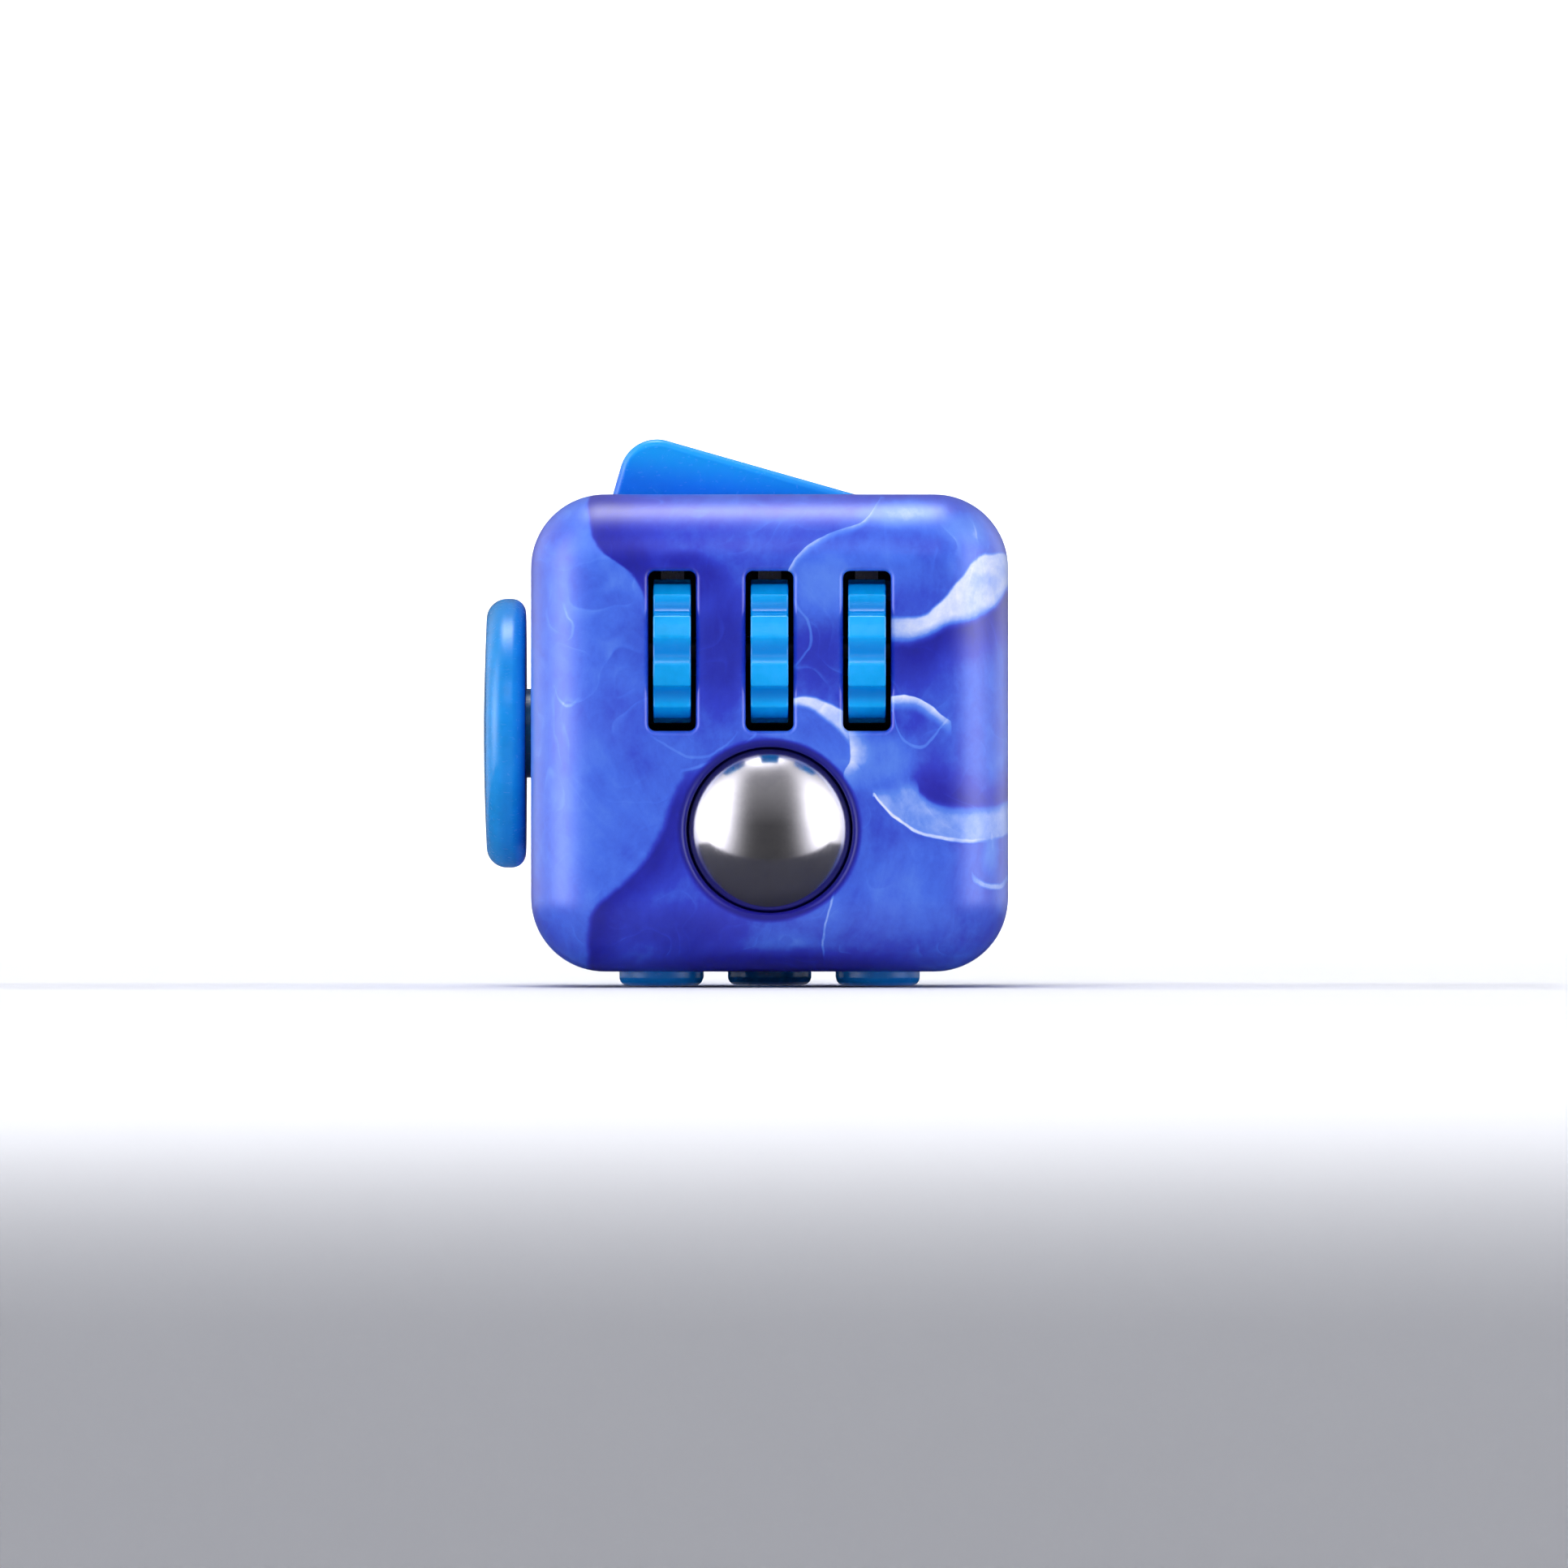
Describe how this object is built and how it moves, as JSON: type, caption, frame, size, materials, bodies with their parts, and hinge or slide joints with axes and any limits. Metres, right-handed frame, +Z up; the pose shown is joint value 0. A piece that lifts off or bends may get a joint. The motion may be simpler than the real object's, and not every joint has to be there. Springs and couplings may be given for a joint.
{
  "type": "fidget cube",
  "caption": "Rounded desk cube with gears and a steel ball in front, a rocker on top, a spinning dial, a thumb dish, a joystick and push buttons underneath.",
  "frame": {"origin": "centre of the middle button's tip, in the plane of the button tips that the cube stands on", "axes": "+Z up out of the rocker's face, +X right out of the thumb dish, +Y back out of the joystick's face, so the gears and ball face -Y"},
  "size_m": [0.0364, 0.0408, 0.0379],
  "materials": {
    "marbled_shell": "satin moulded plastic, marbled in deep blue, sky blue and white",
    "control_plastic": "glossy azure plastic",
    "inner_plastic": "matt dark moulded plastic",
    "polished_ball": "polished bearing steel",
    "steel_pins": "ground steel",
    "screws": "zinc-plated steel",
    "spring_steel": "bright spring steel"
  },
  "bodies": {
    "housing": {"main_body": "marbled_shell", "front_cover": "marbled_shell", "back_cover": "marbled_shell", "gear_axle": "steel_pins", "gear_carrier": "inner_plastic", "gear_carrier_screws": "screws", "gear_click_leaf_left": "spring_steel", "gear_click_leaf_centre": "spring_steel", "gear_click_leaf_right": "spring_steel", "ball_return_spring": "spring_steel", "ball_backplate": "inner_plastic", "ball_click_dome": "spring_steel", "ball_switch_cup": "inner_plastic", "ball_backplate_screws": "screws", "flip_pivot_pin": "steel_pins", "flip_bracket": "inner_plastic", "flip_detent_leaf": "spring_steel", "flip_bracket_screws": "screws", "dial_bush": "inner_plastic", "dial_spring_washer": "spring_steel", "joystick_socket": "inner_plastic", "joystick_spring": "spring_steel", "joystick_spring_seat": "inner_plastic", "joystick_screws": "screws", "click_dome_front_left": "spring_steel", "click_dome_front_right": "spring_steel", "click_dome_centre": "spring_steel", "silent_spring_left": "spring_steel", "silent_spring_right": "spring_steel", "button_tray": "inner_plastic", "button_tray_screws": "screws"},
    "gear_left": {"gear_left": "control_plastic"},
    "gear_centre": {"gear_centre": "control_plastic"},
    "gear_right": {"gear_right": "control_plastic"},
    "ball_cradle": {"ball_cradle": "inner_plastic"},
    "roll_ball": {"roll_ball": "polished_ball"},
    "flip_rocker": {"flip_rocker": "control_plastic"},
    "spin_dial": {"spin_dial": "control_plastic", "dial_retaining_washer": "steel_pins", "dial_screw": "screws"},
    "gimbal": {"gimbal_ring": "inner_plastic", "gimbal_pins": "steel_pins"},
    "joystick": {"joystick_stem": "control_plastic", "joystick_cap": "control_plastic"},
    "button_front_left": {"button_front_left": "control_plastic"},
    "button_front_right": {"button_front_right": "control_plastic"},
    "button_centre": {"button_centre": "control_plastic"},
    "button_rear_left": {"button_rear_left": "control_plastic"},
    "button_rear_right": {"button_rear_right": "control_plastic"}
  },
  "joints": [
    {"name": "gear_left_spin", "type": "hinge", "parent": "housing", "child": "gear_left", "pos_m": [-0.00672, -0.01315, 0.02315], "axis": [1, 0, 0], "continuous": true, "deforming": ["gear_click_leaf_left"]},
    {"name": "gear_centre_spin", "type": "hinge", "parent": "housing", "child": "gear_centre", "pos_m": [0, -0.01315, 0.02315], "axis": [1, 0, 0], "continuous": true, "deforming": ["gear_click_leaf_centre"]},
    {"name": "gear_right_spin", "type": "hinge", "parent": "housing", "child": "gear_right", "pos_m": [0.00672, -0.01315, 0.02315], "axis": [1, 0, 0], "continuous": true, "deforming": ["gear_click_leaf_right"]},
    {"name": "ball_press", "type": "slide", "parent": "housing", "child": "ball_cradle", "axis": [0, 1, 0], "range_m": [0, 0.0009], "stiffness_N_per_m": 600, "deforming": ["ball_return_spring", "ball_click_dome"]},
    {"name": "ball_roll", "type": "hinge", "parent": "ball_cradle", "child": "roll_ball", "pos_m": [0, -0.0119, 0.0108], "axis": [1, 0, 0], "continuous": true},
    {"name": "rocker_flip", "type": "hinge", "parent": "housing", "child": "flip_rocker", "pos_m": [0, 0, 0.0318], "axis": [0, -1, 0], "range_deg": [0, 31.8], "deforming": ["flip_detent_leaf"]},
    {"name": "dial_spin", "type": "hinge", "parent": "housing", "child": "spin_dial", "pos_m": [-0.0165, 0, 0.0175], "axis": [-1, 0, 0], "continuous": true},
    {"name": "stick_tilt_up_down", "type": "hinge", "parent": "housing", "child": "gimbal", "pos_m": [0, 0.0087, 0.0175], "axis": [1, 0, 0], "range_deg": [-14, 14], "stiffness_Nm_per_rad": 0.02},
    {"name": "stick_tilt_sideways", "type": "hinge", "parent": "gimbal", "child": "joystick", "pos_m": [0, 0.0087, 0.0175], "axis": [0, 0, 1], "range_deg": [-14, 14], "stiffness_Nm_per_rad": 0.02},
    {"name": "press_front_left", "type": "slide", "parent": "housing", "child": "button_front_left", "axis": [0, 0, 1], "range_m": [0, 0.0007], "stiffness_N_per_m": 1200, "deforming": ["click_dome_front_left"]},
    {"name": "press_front_right", "type": "slide", "parent": "housing", "child": "button_front_right", "axis": [0, 0, 1], "range_m": [0, 0.0007], "stiffness_N_per_m": 1200, "deforming": ["click_dome_front_right"]},
    {"name": "press_centre", "type": "slide", "parent": "housing", "child": "button_centre", "axis": [0, 0, 1], "range_m": [0, 0.0007], "stiffness_N_per_m": 1200, "deforming": ["click_dome_centre"]},
    {"name": "press_rear_left", "type": "slide", "parent": "housing", "child": "button_rear_left", "axis": [0, 0, 1], "range_m": [0, 0.0007], "stiffness_N_per_m": 600, "deforming": ["silent_spring_left"]},
    {"name": "press_rear_right", "type": "slide", "parent": "housing", "child": "button_rear_right", "axis": [0, 0, 1], "range_m": [0, 0.0007], "stiffness_N_per_m": 600, "deforming": ["silent_spring_right"]}
  ]
}
